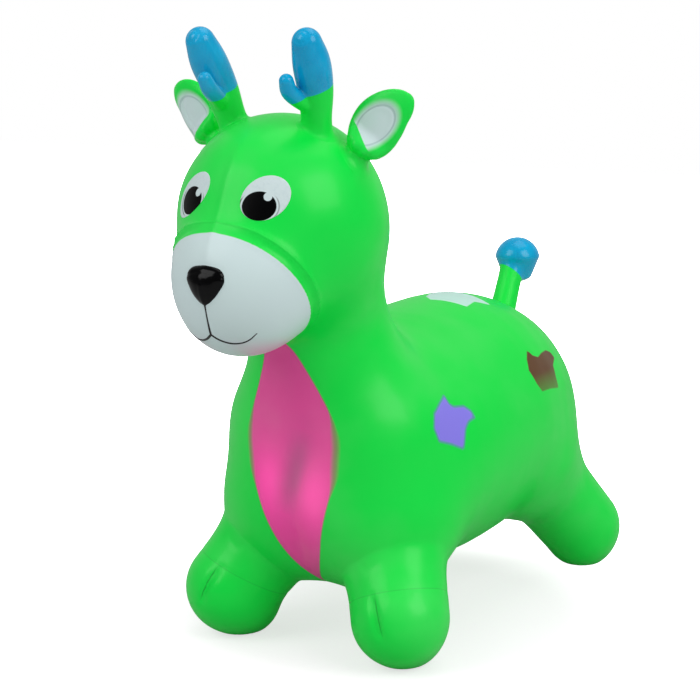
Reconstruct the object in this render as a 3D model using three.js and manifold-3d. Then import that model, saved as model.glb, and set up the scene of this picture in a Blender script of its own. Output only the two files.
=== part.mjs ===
// Inflatable deer hopper: a ride-on toy moulded as one air-filled skin, modelled in the body zones that flex.
// Millimetres, +Z up. The animal faces -Y, its left side is +X and its soles stand on Z = 0.
import * as THREE from 'three';
import { mergeVertices } from 'three/addons/utils/BufferGeometryUtils.js';
import Module from 'manifold-3d';

const wasm = await Module();
wasm.setup();

// Gap that neighbouring pieces keep
const clearance = 0.3;

// Trunk: five balls along the barrel, from the chest to the rump
const chestY = -80;
const chestHeight = 170;
const chestRadius = 95;
const shoulderY = -20;
const shoulderRadius = 113;
const barrelHeight = 174.5;
const seatY = 60;
const seatRadius = 119.5;
const haunchY = 135;
const haunchRadius = 116;
const rumpY = 190;
const rumpHeight = 160;
const rumpRadius = 99;

// Neck: a ball seated in the shoulders, a waist and the head's centre, each measured from the chest upwards
const neckRootRadius = 76;
const neckRootRise = 62;
const neckRootReach = 16;
const neckStemRadius = 64;
const neckWaistRise = 71;
const neckWaistReach = 26;
const neckWaistRadius = 62;
const neckTopRadius = 74;
const headRise = 166.5;
const headReach = 81.5;
const headRadius = 88.5;

// Muzzle and nose, measured from the head's centre and the muzzle's centre
const muzzleReach = 50.5;
const muzzleDrop = 42;
const muzzleRadius = 62.5;
const chinReach = 14;
const chinDrop = 21.5;
const chinRadius = 42;
const noseWidth = 32;
const noseHeight = 34;
const noseCornerRadius = 7;
const noseRaise = 7;
const noseEdgeRound = 6;
const noseDrop = 2;

// Ears: leaves on the sides of the head, turned out and cupped at the front
const earSeatTilt = 52;
const earSeatSweep = 5;
const earRootRadius = 12.5;
const earTilt = 37;
const earSweep = 11.5;
const earLength = 62;
const earNeckRadius = 8;
const earHalfWidth = 24;
const earTipRadius = 8;
const earFlatness = 0.36;
const earFaceTurn = 18;
const earCupDepth = 2.5;
const earRimWidth = 4;

// Antlers: stems that swell upwards and lean forward, each with one tine
const antlerSeatTilt = 29;
const antlerSeatSweep = -16;
const antlerRootRadius = 16;
const antlerStemRadius = 12;
const antlerHeight = 70;
const antlerLean = 31;
const antlerSplay = 11;
const antlerBulgeRadius = 15;
const antlerTipRadius = 13.5;
const tineRootHeight = 21;
const tineReach = 35;
const tineRise = 22;
const tineRadius = 6.8;

// Tail: a stalk with a ball, on the rump
const tailSeatTilt = 26;
const tailRootRadius = 16;
const tailTilt = 32;
const tailLength = 75.5;
const tailStalkRadius = 12.5;
const tailBallRadius = 23;

// Legs: hip, knee and foot balls, with a flat sole pressed into each foot
const soleDepth = 3;
const frontHipX = 46;
const frontHipY = -86;
const frontHipHeight = 120;
const frontHipRadius = 64;
const frontKneeX = 63;
const frontKneeY = -99;
const frontKneeHeight = 90;
const frontKneeRadius = 52;
const frontFootX = 88;
const frontFootY = -128;
const frontFootRadius = 44.5;
const rearHipX = 56;
const rearHipY = 163;
const rearHipHeight = 123;
const rearHipRadius = 62;
const rearKneeX = 70;
const rearKneeY = 207;
const rearKneeHeight = 90;
const rearKneeRadius = 48;
const rearFootX = 92;
const rearFootY = 247;
const rearFootRadius = 42;

// Air valve under the belly: a thick moulded seat and the tapered plug pressed into it
const valveY = 60;
const valveSeatRadius = 14;
const valveSeatDepth = 16;
const valveInset = 1;
const plugFlangeRadius = 8.5;
const plugFlangeThickness = 2.4;
const plugMouthRadius = 5.4;
const plugEndRadius = 4.6;
const plugLength = 13;
const plugRibHeight = 0.5;
const plugRibCount = 3;

// Facets of the round forms
const bodySides = 30;
const limbSides = 20;
const smallSides = 14;
const stepsPerSpan = 3;
const capSteps = 4;

const green = { color: 0x1fd24a, roughness: 0.42, metalness: 0 };
const blue = { color: 0x1f8fc9, roughness: 0.36, metalness: 0 };
const white = { color: 0xdfeeee, roughness: 0.42, metalness: 0 };
const black = { color: 0x0b0c0e, roughness: 0.25, metalness: 0 };
const milky = { color: 0xe8ebe6, roughness: 0.5, metalness: 0 };

function point(x, y, z) {
  return new THREE.Vector3(x, y, z);
}

// Unit vector tilted away from straight up, outwards along +X and then swept backwards
function direction(tilt, sweep) {
  const lean = THREE.MathUtils.degToRad(tilt);
  const turn = THREE.MathUtils.degToRad(sweep);
  return point(Math.sin(lean) * Math.cos(turn), Math.sin(lean) * Math.sin(turn), Math.cos(lean));
}

function mirrored(position, side) {
  return point(position.x * side, position.y, position.z);
}

function ball(at, radius) {
  return { at, radius };
}

// Closed solid from a geometry, with shared corners merged
function solid(geometry) {
  const bare = geometry.clone();
  bare.deleteAttribute('normal');
  bare.deleteAttribute('uv');
  const merged = mergeVertices(bare);
  return new wasm.Manifold(new wasm.Mesh({
    numProp: 3,
    vertProperties: new Float32Array(merged.attributes.position.array),
    triVerts: new Uint32Array(merged.index.array),
  }));
}

function sphere(at, radius, sides) {
  const geometry = new THREE.SphereGeometry(radius, sides, sides / 2);
  geometry.rotateX(Math.PI / 2);
  return solid(geometry.translate(at.x, at.y, at.z));
}

// Socket that a faceted ball can turn in: its flats, and not only its corners, stay clear of the ball
function socket(at, radius, sides) {
  const flat = Math.cos(Math.PI / sides) ** 2;
  return sphere(at, (radius + clearance) / flat, sides);
}

// Skin stretched over balls strung along a curved spine: each ring is where one ball touches the skin.
// The section is round, or flattened along one direction to make a leaf.
function swell(balls, sides, grow = 0, leaf = { flatness: 1, across: point(1, 0, 0) }) {
  const spine = new THREE.CatmullRomCurve3(balls.map((each) => each.at), false, 'catmullrom');
  const radii = balls.map((each) => point(each.radius + grow, 0, 0));
  const sizes = new THREE.CatmullRomCurve3(radii, false, 'catmullrom');
  const spans = (balls.length - 1) * stepsPerSpan;
  const rings = [];
  const poles = [];
  for (let step = 0; step <= spans; step += 1) {
    const t = step / spans;
    const before = Math.max(0, t - 0.5 / spans);
    const after = Math.min(1, t + 0.5 / spans);
    const run = spine.getPoint(after).distanceTo(spine.getPoint(before));
    const growth = (sizes.getPoint(after).x - sizes.getPoint(before).x) / run;
    const touch = Math.acos(THREE.MathUtils.clamp(-growth, -0.95, 0.95));
    const along = spine.getTangent(t);
    const across = leaf.across.clone().addScaledVector(along, -leaf.across.dot(along)).normalize();
    const frame = { at: spine.getPoint(t), radius: sizes.getPoint(t).x, along, across };
    if (step === 0) {
      for (let cap = 1; cap < capSteps; cap += 1) {
        rings.push({ ...frame, angle: Math.PI + (touch - Math.PI) * cap / capSteps });
      }
      poles.push(frame.at.clone().addScaledVector(along, -frame.radius));
    }
    rings.push({ ...frame, angle: touch });
    if (step === spans) {
      for (let cap = capSteps - 1; cap > 0; cap -= 1) {
        rings.push({ ...frame, angle: touch * cap / capSteps });
      }
      poles.push(frame.at.clone().addScaledVector(along, frame.radius));
    }
  }
  const corners = [poles[0]];
  for (const ring of rings) {
    const thin = ring.along.clone().cross(ring.across);
    for (let side = 0; side < sides; side += 1) {
      const turn = 2 * Math.PI * side / sides;
      const reach = ring.radius * Math.sin(ring.angle);
      corners.push(ring.at.clone()
        .addScaledVector(ring.along, ring.radius * Math.cos(ring.angle))
        .addScaledVector(ring.across, reach * Math.cos(turn))
        .addScaledVector(thin, reach * Math.sin(turn) * leaf.flatness));
    }
  }
  corners.push(poles[1]);
  const faces = [];
  const last = corners.length - 1;
  for (let side = 0; side < sides; side += 1) {
    const next = (side + 1) % sides;
    faces.push(0, 1 + next, 1 + side);
    for (let ring = 0; ring < rings.length - 1; ring += 1) {
      const low = 1 + ring * sides;
      const high = low + sides;
      faces.push(low + side, low + next, high + next, low + side, high + next, high + side);
    }
    faces.push(last, last - sides + side, last - sides + next);
  }
  const geometry = new THREE.BufferGeometry().setFromPoints(corners);
  return solid(geometry.setIndex(faces));
}

// Everything below the floor, as a block wide enough to cut the whole animal
function floorBlock() {
  const reach = 4 * (haunchY + seatRadius);
  return solid(new THREE.BoxGeometry(reach, reach, reach).translate(0, 0, -reach / 2));
}

// The other half of the animal, which a leg keeps out of
function otherSide(side) {
  const reach = 4 * (haunchY + seatRadius);
  const offset = side * (clearance / 2 - reach / 2);
  return solid(new THREE.BoxGeometry(reach, reach, reach).translate(offset, 0, 0));
}

const neckRoot = point(0, chestY - neckRootReach, chestHeight + neckRootRise);
const neckWaist = point(0, neckRoot.y - neckWaistReach, neckRoot.z + neckWaistRise);
const headCentre = point(0, neckRoot.y - headReach, neckRoot.z + headRise);
const muzzleCentre = point(0, headCentre.y - muzzleReach, headCentre.z - muzzleDrop);
const chinCentre = point(0, muzzleCentre.y - chinReach, muzzleCentre.z - chinDrop);
const valveMouth = point(0, valveY, barrelHeight - seatRadius + valveInset);

function seatOnHead(tilt, sweep, side) {
  return mirrored(direction(tilt, sweep).multiplyScalar(headRadius).add(headCentre), side);
}

function earSeat(side) {
  return seatOnHead(earSeatTilt, earSeatSweep, side);
}

function antlerSeat(side) {
  return seatOnHead(antlerSeatTilt, antlerSeatSweep, side);
}

function tailSeat() {
  const lean = THREE.MathUtils.degToRad(tailSeatTilt);
  return point(0, rumpY + rumpRadius * Math.sin(lean), rumpHeight + rumpRadius * Math.cos(lean));
}

function trunkForm(grow) {
  return swell([
    ball(point(0, chestY, chestHeight), chestRadius),
    ball(point(0, shoulderY, barrelHeight), shoulderRadius),
    ball(point(0, seatY, barrelHeight), seatRadius),
    ball(point(0, haunchY, barrelHeight), haunchRadius),
    ball(point(0, rumpY, rumpHeight), rumpRadius),
  ], bodySides, grow);
}

function neckForm(grow) {
  const stem = swell([
    ball(neckRoot, neckStemRadius),
    ball(neckWaist, neckWaistRadius),
    ball(headCentre, neckTopRadius),
  ], bodySides, grow);
  return stem.add(sphere(neckRoot, neckRootRadius + grow, bodySides));
}

function headForm(grow) {
  return sphere(headCentre, headRadius + grow, bodySides);
}

function muzzleForm(grow) {
  return swell([ball(muzzleCentre, muzzleRadius), ball(chinCentre, chinRadius)], bodySides, grow);
}

// Barrel of the body, hollowed where the neck and the tail seat and where the valve goes in
function trunk() {
  const pocket = new THREE.CylinderGeometry(
    valveSeatRadius + clearance,
    valveSeatRadius + clearance,
    2 * (valveSeatDepth + clearance),
    limbSides,
  );
  pocket.rotateX(Math.PI / 2).translate(0, valveMouth.y, valveMouth.z);
  return trunkForm(0)
    .subtract(neckForm(clearance))
    .subtract(socket(neckRoot, neckRootRadius, bodySides))
    .subtract(socket(tailSeat(), tailRootRadius, limbSides))
    .subtract(solid(pocket));
}

function neck() {
  return neckForm(0).subtract(headForm(clearance)).subtract(muzzleForm(clearance));
}

// Round head with four sockets for the ears and the antlers
function head() {
  let form = headForm(0);
  for (const side of [1, -1]) {
    form = form.subtract(socket(earSeat(side), earRootRadius, limbSides));
    form = form.subtract(socket(antlerSeat(side), antlerRootRadius, limbSides));
  }
  return form;
}

function muzzle() {
  return muzzleForm(0).subtract(headForm(clearance));
}

// Rounded triangle, broad at the top, standing off the front of the muzzle
function nose() {
  const half = noseWidth / 2 - noseCornerRadius;
  const top = noseHeight / 2 - noseCornerRadius;
  const outline = new THREE.Shape();
  outline.absarc(half, top, noseCornerRadius, -Math.PI / 6, Math.PI / 2, false);
  outline.absarc(-half, top, noseCornerRadius, Math.PI / 2, 7 * Math.PI / 6, false);
  outline.absarc(0, -top, noseCornerRadius, 7 * Math.PI / 6, 11 * Math.PI / 6, false);
  outline.closePath();
  const depth = noseRaise + noseHeight / 2;
  const pad = new THREE.ExtrudeGeometry(outline, {
    depth: depth - noseEdgeRound,
    curveSegments: 6,
    bevelThickness: noseEdgeRound,
    bevelSize: noseEdgeRound,
    bevelOffset: -noseEdgeRound,
    bevelSegments: 4,
  });
  pad.rotateX(Math.PI / 2);
  pad.translate(0, muzzleCentre.y - muzzleRadius - noseRaise + depth, muzzleCentre.z - noseDrop);
  return solid(pad).subtract(muzzleForm(clearance));
}

// Leaf on a ball root, with a shallow cup in the face that looks forward
function ear(side) {
  const root = earSeat(1);
  const out = direction(earTilt, earSweep);
  const turn = THREE.MathUtils.degToRad(earFaceTurn);
  const face = point(Math.sin(turn), -Math.cos(turn), 0);
  const across = out.clone().cross(face).normalize();
  const onAxis = (share) => mirrored(root.clone().addScaledVector(out, earLength * share), side);
  const leaf = { flatness: earFlatness, across: mirrored(across, side) };
  const blade = swell([
    ball(onAxis(0), earNeckRadius),
    ball(onAxis(0.36), 0.86 * earHalfWidth),
    ball(onAxis(0.66), earHalfWidth),
    ball(onAxis(1), earTipRadius),
  ], limbSides, 0, leaf);
  const normal = mirrored(face.clone().addScaledVector(out, -face.dot(out)).normalize(), side);
  const lift = normal.multiplyScalar(earHalfWidth * earFlatness * 2 - earCupDepth);
  const cup = swell([
    ball(onAxis(0.36).add(lift), 0.86 * earHalfWidth - earRimWidth),
    ball(onAxis(0.66).add(lift), earHalfWidth - earRimWidth),
    ball(onAxis(0.92).add(lift), earTipRadius),
  ], limbSides, 0, leaf);
  return blade.subtract(cup).add(sphere(earSeat(side), earRootRadius, smallSides));
}

// Forked stem on a ball root
function antler(side) {
  const root = antlerSeat(1);
  const onStem = (splay, lean, rise) => mirrored(point(root.x + splay, root.y - lean, root.z + rise), side);
  const stem = swell([
    ball(onStem(0, 0, 0), antlerStemRadius),
    ball(onStem(0.36 * antlerSplay, 0.26 * antlerLean, 0.36 * antlerHeight), 0.84 * antlerBulgeRadius),
    ball(onStem(0.9 * antlerSplay, 0.66 * antlerLean, 0.72 * antlerHeight), antlerBulgeRadius),
    ball(onStem(antlerSplay, antlerLean, antlerHeight), antlerTipRadius),
  ], smallSides);
  const tineFoot = 0.2 * antlerLean;
  const tine = swell([
    ball(onStem(0, tineFoot, tineRootHeight), tineRadius),
    ball(onStem(0, tineFoot + 0.7 * tineReach, tineRootHeight + 0.3 * tineRise), tineRadius),
    ball(onStem(0, tineFoot + tineReach, tineRootHeight + tineRise), 0.9 * tineRadius),
  ], smallSides);
  return stem.add(tine).add(sphere(antlerSeat(side), antlerRootRadius, smallSides));
}

function tail() {
  const root = tailSeat();
  const lean = THREE.MathUtils.degToRad(tailTilt);
  const onStalk = (run) => point(0, root.y + run * Math.sin(lean), root.z + run * Math.cos(lean));
  const stalk = swell([
    ball(onStalk(0), tailStalkRadius),
    ball(onStalk(0.5 * tailLength), tailStalkRadius),
    ball(onStalk(tailLength), tailStalkRadius),
  ], smallSides);
  return stalk
    .add(sphere(onStalk(tailLength), tailBallRadius, limbSides))
    .add(sphere(root, tailRootRadius, smallSides));
}

// Stubby leg that widens into the trunk and stands on a flat sole
function leg(side, hip, knee, foot) {
  const form = swell([
    ball(mirrored(hip.at, side), hip.radius),
    ball(mirrored(knee.at, side), knee.radius),
    ball(mirrored(foot.at, side), foot.radius),
  ], limbSides);
  return form
    .subtract(trunkForm(clearance))
    .subtract(socket(neckRoot, neckRootRadius, bodySides))
    .subtract(otherSide(side))
    .subtract(floorBlock());
}

function frontLeg(side) {
  return leg(
    side,
    ball(point(frontHipX, frontHipY, frontHipHeight), frontHipRadius),
    ball(point(frontKneeX, frontKneeY, frontKneeHeight), frontKneeRadius),
    ball(point(frontFootX, frontFootY, frontFootRadius - soleDepth), frontFootRadius),
  );
}

function rearLeg(side) {
  return leg(
    side,
    ball(point(rearHipX, rearHipY, rearHipHeight), rearHipRadius),
    ball(point(rearKneeX, rearKneeY, rearKneeHeight), rearKneeRadius),
    ball(point(rearFootX, rearFootY, rearFootRadius - soleDepth), rearFootRadius),
  );
}

// Solid of revolution about a vertical axis through the valve, from heights above its mouth
function valveTurning(profile) {
  const outline = profile.map(([radius, height]) => new THREE.Vector2(radius, height));
  const turned = new THREE.LatheGeometry(outline, limbSides);
  return solid(turned.rotateX(Math.PI / 2).translate(0, valveMouth.y, valveMouth.z));
}

// Thick ring with a recess for the flange and a bore that tapers with the plug
function valveSeat() {
  const recess = plugFlangeThickness + clearance;
  const bottom = plugFlangeThickness + plugLength + clearance;
  return valveTurning([
    [plugFlangeRadius + clearance, 0],
    [valveSeatRadius, 0],
    [valveSeatRadius, valveSeatDepth],
    [0, valveSeatDepth],
    [0, bottom],
    [plugEndRadius + plugRibHeight + clearance, bottom],
    [plugMouthRadius + plugRibHeight + clearance, recess],
    [plugFlangeRadius + clearance, recess],
    [plugFlangeRadius + clearance, 0],
  ]);
}

// Flanged plug with a tapered, ribbed shank
function valvePlug() {
  const edge = plugFlangeThickness / 3;
  const profile = [
    [0, 0],
    [plugFlangeRadius - edge, 0],
    [plugFlangeRadius, edge],
    [plugFlangeRadius, plugFlangeThickness],
  ];
  const ribPitch = plugLength / (plugRibCount + 1);
  const shankAt = (run) => plugMouthRadius + (plugEndRadius - plugMouthRadius) * run / plugLength;
  profile.push([plugMouthRadius, plugFlangeThickness]);
  for (let rib = 1; rib <= plugRibCount; rib += 1) {
    const run = rib * ribPitch;
    profile.push([shankAt(run), plugFlangeThickness + run - ribPitch / 4]);
    profile.push([shankAt(run) + plugRibHeight, plugFlangeThickness + run]);
    profile.push([shankAt(run), plugFlangeThickness + run + ribPitch / 4]);
  }
  profile.push([plugEndRadius, plugFlangeThickness + plugLength]);
  profile.push([0, plugFlangeThickness + plugLength]);
  return valveTurning(profile);
}

const hopper = new THREE.Group();
hopper.name = 'deer_hopper';

function place(name, form, finish) {
  const shape = form.getMesh();
  const geometry = new THREE.BufferGeometry();
  geometry.setAttribute('position', new THREE.BufferAttribute(shape.vertProperties, 3));
  geometry.setIndex(new THREE.BufferAttribute(shape.triVerts, 1));
  geometry.computeVertexNormals();
  const mesh = new THREE.Mesh(geometry, new THREE.MeshStandardMaterial(finish));
  mesh.name = name;
  hopper.add(mesh);
}

place('trunk', trunk(), green);
place('neck', neck(), green);
place('head', head(), green);
place('muzzle', muzzle(), white);
place('nose', nose(), black);
for (const [name, side] of [['left', 1], ['right', -1]]) {
  place(`${name}_ear`, ear(side), green);
  place(`${name}_antler`, antler(side), blue);
  place(`front_${name}_leg`, frontLeg(side), green);
  place(`rear_${name}_leg`, rearLeg(side), green);
}
place('tail', tail(), blue);
place('valve_seat', valveSeat(), green);
place('valve_plug', valvePlug(), milky);

export default hopper;
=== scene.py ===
import math
import bmesh
import bpy
import numpy as np
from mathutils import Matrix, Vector


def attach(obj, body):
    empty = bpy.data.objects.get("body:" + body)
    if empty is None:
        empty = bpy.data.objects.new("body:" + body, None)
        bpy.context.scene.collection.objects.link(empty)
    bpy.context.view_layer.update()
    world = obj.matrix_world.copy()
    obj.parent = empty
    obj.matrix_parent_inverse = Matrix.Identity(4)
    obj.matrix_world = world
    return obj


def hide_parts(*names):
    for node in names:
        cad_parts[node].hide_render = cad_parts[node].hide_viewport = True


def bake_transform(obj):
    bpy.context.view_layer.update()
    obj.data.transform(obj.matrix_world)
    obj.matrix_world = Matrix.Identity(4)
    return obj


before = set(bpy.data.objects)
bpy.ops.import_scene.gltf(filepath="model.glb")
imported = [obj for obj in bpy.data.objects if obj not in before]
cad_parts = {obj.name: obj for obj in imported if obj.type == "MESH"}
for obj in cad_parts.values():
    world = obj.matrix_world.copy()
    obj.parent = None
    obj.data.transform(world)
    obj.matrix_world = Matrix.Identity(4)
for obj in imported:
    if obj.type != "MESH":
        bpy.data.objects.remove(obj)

scene = bpy.context.scene
scene.view_settings.view_transform = "Standard"
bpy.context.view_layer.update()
mm = 0.001  # the forms below are written in millimetres, Blender is in metres

# camera, solved from the mirrored pairs of feet, eyes, tines and antler tips in the photo
cameraSetup = {
    "azimuth": 31.45,
    "elevation": 10.49,
    "distance": 1774,
    "sideShift": -34.8,  # aim point along the picture's right
    "aimHeight": 255.9,
    "focalPixels": 1884,
    "framePixels": 700,
    "sensor": 36,
}


def toCamera(setup):
    az, el = math.radians(setup["azimuth"]), math.radians(setup["elevation"])
    return Vector((math.sin(az) * math.cos(el), -math.cos(az) * math.cos(el), math.sin(el)))


def makeCamera(setup):
    back = toCamera(setup)
    right = Vector((-back.y, back.x, 0)).normalized()
    aim = right * setup["sideShift"] + Vector((0, 0, setup["aimHeight"]))
    lens = bpy.data.cameras.new("photoCamera")
    lens.sensor_width = setup["sensor"]
    lens.lens = setup["focalPixels"] / setup["framePixels"] * setup["sensor"]
    lens.clip_end = 50
    rig = bpy.data.objects.new("photoCamera", lens)
    rig.location = (aim + back * setup["distance"]) * mm
    rig.rotation_euler = back.to_track_quat("Z", "Y").to_euler()
    scene.collection.objects.link(rig)
    scene.camera = rig


makeCamera(cameraSetup)
print("camera placed")


# shader maths: a wire is one output socket, and arithmetic on wires adds Math nodes
class Wire:
    def __init__(self, finish, socket):
        self.finish = finish
        self.socket = socket

    def math(self, operation, *values):
        return self.finish.node("ShaderNodeMath", {"operation": operation}, dict(enumerate(values)))

    def __add__(self, other):
        return self.math("ADD", self, other)

    def __radd__(self, other):
        return self.math("ADD", other, self)

    def __sub__(self, other):
        return self.math("SUBTRACT", self, other)

    def __rsub__(self, other):
        return self.math("SUBTRACT", other, self)

    def __mul__(self, other):
        return self.math("MULTIPLY", self, other)

    def __rmul__(self, other):
        return self.math("MULTIPLY", other, self)

    def __truediv__(self, other):
        return self.math("DIVIDE", self, other)

    def __rtruediv__(self, other):
        return self.math("DIVIDE", other, self)

    def __pow__(self, other):
        return self.math("POWER", self, other)

    def root(self):
        return self.math("SQRT", self)

    def most(self, other):
        return self.math("MAXIMUM", self, other)

    def size(self):
        return self.math("ABSOLUTE", self)

    # 0 below low, 1 above high, with an eased ramp between
    def ramp(self, low, high):
        return self.finish.node(
            "ShaderNodeMapRange",
            {"interpolation_type": "SMOOTHSTEP"},
            {"Value": self, "From Min": low, "From Max": high},
        )

    # 1 inside a painted edge and 0 outside it
    def inside(self, soft):
        return self.ramp(-soft, soft)


class Finish:
    def __init__(self, name, kind="materials"):
        self.owner = getattr(bpy.data, kind).new(name)
        self.owner.use_nodes = True
        self.tree = self.owner.node_tree
        self.tree.nodes.clear()

    def node(self, kind, settings={}, sockets={}, output=0):
        made = self.tree.nodes.new(kind)
        for key, value in settings.items():
            setattr(made, key, value)
        for key, value in sockets.items():
            if isinstance(value, Wire):
                self.tree.links.new(value.socket, made.inputs[key])
            else:
                made.inputs[key].default_value = value
        return Wire(self, made.outputs[output]) if made.outputs else made

    def attribute(self, name):
        return self.node("ShaderNodeAttribute", {"attribute_name": name}, output="Fac")

    def place(self):
        return self.node("ShaderNodeTexCoord", output="Object")

    def seenBy(self, ray):
        return self.node("ShaderNodeLightPath", output=ray)

    def noise(self, scale, detail):
        sockets = {"Vector": self.place(), "Scale": scale, "Detail": detail}
        return self.node("ShaderNodeTexNoise", {}, sockets, "Fac")

    def mix(self, amount, base, over):
        return self.node("ShaderNodeMix", {"data_type": "RGBA"}, {0: amount, 6: base, 7: over}, 2)

    def bump(self, height, distance, strength):
        sockets = {"Height": height, "Distance": distance, "Strength": strength}
        return self.node("ShaderNodeBump", {}, sockets, "Normal")

    def close(self, shader, end="ShaderNodeOutputMaterial"):
        self.node(end, {}, {"Surface": shader})

    def surface(self, sockets):
        self.close(self.node("ShaderNodeBsdfPrincipled", {}, sockets))
        return self.owner


# a colour as a picture shows it, 0 to 255
def paint(red, green, blue):
    def linear(level):
        level = level / 255
        return level / 12.92 if level <= 0.04045 else ((level + 0.055) / 1.055) ** 2.4

    return (linear(red), linear(green), linear(blue), 1)


fullWhite = (1, 1, 1, 1)

# floor, world and lamps
studio = {
    "floorSpan": 9,
    "floorShade": (0.545, 0.495, 0.545, 1),
    "floorBounce": (0.56, 0.56, 0.56, 1),
    "floorGlow": 3.4,
    "floorShare": 0.8,  # how much of the lit floor, with its shadows, the camera sees over plain white
    "floorNear": 0.16,
    "floorFar": 0.5,
    "skyLight": 0.46,
    "roomShine": 0.14,  # what shiny paint mirrors of the dark room in front, and of the white paper behind
    "paperShine": 0.5,
    "paperFrom": 0.1,
    "paperTo": 0.8,
    "lamps": [
        {"name": "keyLamp", "at": (-1.1, -2.2, 2.1), "span": 1.7, "watts": 24.5},
        {"name": "fillLamp", "at": (2.2, -0.4, 1.7), "span": 1.6, "watts": 27},
        {"name": "topLamp", "at": (0.2, 0.5, 2.6), "span": 1.8, "watts": 14},
    ],
    "lampAim": (0, -0.03, 0.27),
}


def makeFloor(setup):
    half = setup["floorSpan"] / 2
    corners = [(-half, -half, 0), (half, -half, 0), (half, half, 0), (-half, half, 0)]
    mesh = bpy.data.meshes.new("floor")
    mesh.from_pydata(corners, [], [(0, 1, 2, 3)])
    floor = bpy.data.objects.new("floor", mesh)
    scene.collection.objects.link(floor)
    s = Finish("floorPaper")
    camera = s.seenBy("Is Camera Ray")
    shade = s.mix(camera, setup["floorBounce"], setup["floorShade"])
    matt = s.node("ShaderNodeBsdfDiffuse", {}, {"Color": shade})
    glow = s.node("ShaderNodeEmission", {}, {"Color": fullWhite, "Strength": setup["floorGlow"]})
    away = s.node("ShaderNodeVectorMath", {"operation": "LENGTH"}, {0: s.place()}, "Value")
    plain = 1 - setup["floorShare"] * (1 - away.ramp(setup["floorNear"], setup["floorFar"]))
    paper = s.node("ShaderNodeMixShader", {}, {0: camera * plain, 1: matt, 2: glow})
    below = s.node("ShaderNodeNewGeometry", output="Backfacing")  # seen from underneath, the floor is clear
    clear = s.node("ShaderNodeBsdfTransparent")
    s.close(s.node("ShaderNodeMixShader", {}, {0: below, 1: paper, 2: clear}))
    mesh.materials.append(s.owner)


def makeWorld(setup):
    s = Finish("studioWorld", "worlds")
    scene.world = s.owner
    sides = {0: s.node("ShaderNodeNewGeometry", output="Incoming"), 1: toCamera(cameraSetup)}
    behind = s.node("ShaderNodeVectorMath", {"operation": "DOT_PRODUCT"}, sides, "Value")
    room, paper, sky = setup["roomShine"], setup["paperShine"], setup["skyLight"]
    mirrored = room + (paper - room) * behind.ramp(setup["paperFrom"], setup["paperTo"])
    shiny = s.seenBy("Is Glossy Ray")
    level = sky * (1 - shiny) + mirrored * shiny + (1 - sky) * s.seenBy("Is Camera Ray")
    light = s.node("ShaderNodeBackground", {}, {"Color": fullWhite, "Strength": level})
    s.close(light, "ShaderNodeOutputWorld")


def makeLamps(setup):
    for lamp in setup["lamps"]:
        data = bpy.data.lights.new(lamp["name"], "AREA")
        data.energy = lamp["watts"]
        data.size = lamp["span"]
        rig = bpy.data.objects.new(lamp["name"], data)
        rig.location = lamp["at"]
        back = Vector(lamp["at"]) - Vector(setup["lampAim"])
        rig.rotation_euler = back.to_track_quat("Z", "Y").to_euler()
        scene.collection.objects.link(rig)


makeFloor(studio)
makeWorld(studio)
makeLamps(studio)
print("studio lit")

# air valve under the belly, heights measured up from its mouth: a thick collar and the plug pressed into it
valveForm = {
    "y": 60,
    "mouth": 56,
    "pocket": 9.5,
    "pocketTop": 74,
    "collar": [
        (5.7, 10), (5.7, 1.4), (6.0, 0.5), (6.8, 0), (12.4, 0),
        (13.4, 0.4), (14, 1.6), (14, 15.2), (13.2, 16), (5.7, 16),
    ],
    "flange": [(0, -2.4), (4, -2.2), (7.4, -2.4), (8.2, -2.1), (8.5, -1.3), (8.2, -0.4), (7.4, -0.1), (5.5, 0)],
    "shankFoot": 5.4,
    "shankEnd": 4.6,
    "shankLength": 13,
    "shankEase": 1.2,
    "ribs": 3,
    "ribHeight": 0.45,
    "ribSpan": (0.03, 0.94),  # shares of the shank
    "ribSteps": 40,
    "sides": 64,
    "sharpAngle": 50,
}

# body: balls along each limb (x, y, z, radius), much as the solids have them
bodyForm = {
    "trunk": [
        (14, -75, 158, 90), (6, -16, 169, 113.5), (0, 60, 170.5, 122),
        (0, 135, 174.5, 117.5), (0, 190, 160, 99),
    ],
    "brisket": [(0, -84, 120, 66)],
    "shoulder": [(37, -88, 194, 64)],
    "neck": [(5, -95, 218, 77), (0, -121, 303, 62.5), (0, -157, 375, 77)],
    "head": [(0, -177.5, 398.5, 88.5)],
    "muzzle": [(0, -217, 358, 60), (0, -228, 356.5, 62.5)],
    "chin": [(0, -242, 335, 42)],
    "frontLeg": [(43, -82, 119.5, 67), (65.5, -98.5, 91, 46), (89, -128, 45, 44)],
    "rearLeg": [(56, 163, 122, 59), (70, 206, 89, 45), (91, 246, 40.6, 41.5)],
    "frontHeel": [(87, -114, 28.5, 33)],
    "rearHeel": [(92, 249, 27, 31)],
    "neckFillet": 46,
    "headFillet": 30,
    "frontFillet": 58,
    "chestFillet": 12,
    "shoulderFillet": 30,
    "rearFillet": (18, 46),  # at the crotch and on the flank
    "flankFrom": 70,
    "flankTo": 130,
    "muzzleFillet": 26,
    "chinFillet": 30,
    "heelFillet": 14,
    "muzzleWidth": 1.04,
    "soleEase": 3,
    "low": (-150, -310, -6),
    "high": (150, 310, 500),
    "rounds": 3,
    "pitch": 2.9,
    "quickPitch": 4.2,
}


def smoothChain(balls, steps):
    balls = np.array(balls, float)
    if len(balls) < 3:
        return balls
    ends = np.vstack([2 * balls[0] - balls[1], balls, 2 * balls[-1] - balls[-2]])
    chain = []
    for i in range(len(balls) - 1):
        a, b, c, d = ends[i:i + 4]
        for t in np.arange(steps) / steps:
            bend = 2 * a - 5 * b + 4 * c - d
            chain.append(0.5 * (2 * b + (c - a) * t + bend * t**2 + (3 * b - a - 3 * c + d) * t**3))
    chain.append(balls[-1])
    return np.array(chain)


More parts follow.
